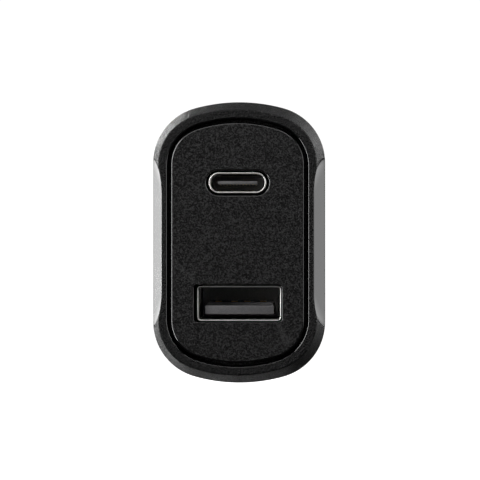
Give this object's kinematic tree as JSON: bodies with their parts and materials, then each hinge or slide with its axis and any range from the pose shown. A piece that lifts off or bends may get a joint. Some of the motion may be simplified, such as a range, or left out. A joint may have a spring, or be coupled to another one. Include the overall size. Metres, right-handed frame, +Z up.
{
  "type": "usb wall charger",
  "caption": "Compact arch-ended wall charger with USB-C and USB-A ports in its front panel and a folding flat-blade plug at the back.",
  "frame": {"origin": "centre of the back face, which lies against the outlet", "axes": "+Y into the wall, along the extended blades; the ports face -Y; +Z up; +X to the right seen from the front"},
  "size_m": [0.027, 0.065, 0.044],
  "materials": {
    "casing": "black, finely textured, with a smooth polished scoop on each flank",
    "panel": "black, fine satin grain",
    "port_plastic": "black, moulded",
    "port_steel": "drawn and nickel-plated",
    "contact_gold": "gold-plated",
    "blade_nickel": "bright nickel plate",
    "screw_steel": "zinc-plated",
    "spring_bronze": "rolled strip",
    "laminate": "green solder mask",
    "chip_plastic": "moulded",
    "insulating_card": "plain card",
    "ferrite": "ground ferrite",
    "bobbin_plastic": "moulded",
    "winding_tape": "polyester tape",
    "capacitor_sleeve": "shrink sleeve",
    "capacitor_can": "bare can",
    "film_capacitor": "moulded box",
    "fuse_body": "sleeved",
    "disc_coating": "dipped coating",
    "choke_copper": "enamelled winding",
    "pad_silicone": "soft pad",
    "spreader_aluminium": "plain sheet",
    "live_insulation": "stranded lead's insulation",
    "neutral_insulation": "stranded lead's insulation"
  },
  "bodies": {
    "casing": {"housing_shell": "casing", "rear_cover": "casing", "front_panel": "panel", "usb_c_tongue": "port_plastic", "usb_a_tongue": "port_plastic", "usb_c_shell": "port_steel", "usb_a_shell": "port_steel", "usb_a_contact_1": "contact_gold", "usb_a_contact_2": "contact_gold", "usb_a_contact_3": "contact_gold", "usb_a_contact_4": "contact_gold", "blade_retainer": "bobbin_plastic", "retainer_screw_left": "screw_steel", "retainer_screw_right": "screw_steel", "contact_spring_left": "spring_bronze", "contact_spring_right": "spring_bronze", "detent_spring": "spring_bronze", "port_board": "laminate", "main_board": "laminate", "charge_controller_chip": "chip_plastic", "switching_chip": "chip_plastic", "bridge_rectifier": "chip_plastic", "insulating_sheet": "insulating_card", "transformer_core_front": "ferrite", "transformer_core_rear": "ferrite", "transformer_bobbin": "bobbin_plastic", "transformer_winding": "winding_tape", "bulk_capacitor_front": "capacitor_sleeve", "bulk_capacitor_rear": "capacitor_sleeve", "output_capacitor_front": "capacitor_can", "output_capacitor_rear": "capacitor_can", "interference_capacitor": "film_capacitor", "fuse": "fuse_body", "safety_capacitor": "disc_coating", "filter_choke": "choke_copper", "thermal_pad": "pad_silicone", "heat_spreader": "spreader_aluminium", "live_lead": "live_insulation", "neutral_lead": "neutral_insulation"},
    "plug": {"blade_carrier": "casing", "blade_left": "blade_nickel", "blade_right": "blade_nickel"}
  },
  "joints": [
    {"name": "blade_fold", "type": "hinge", "parent": "casing", "child": "plug", "pos_m": [0, -0.0039, 0.007], "axis": [-1, 0, 0], "range_deg": [0, 90]}
  ]
}
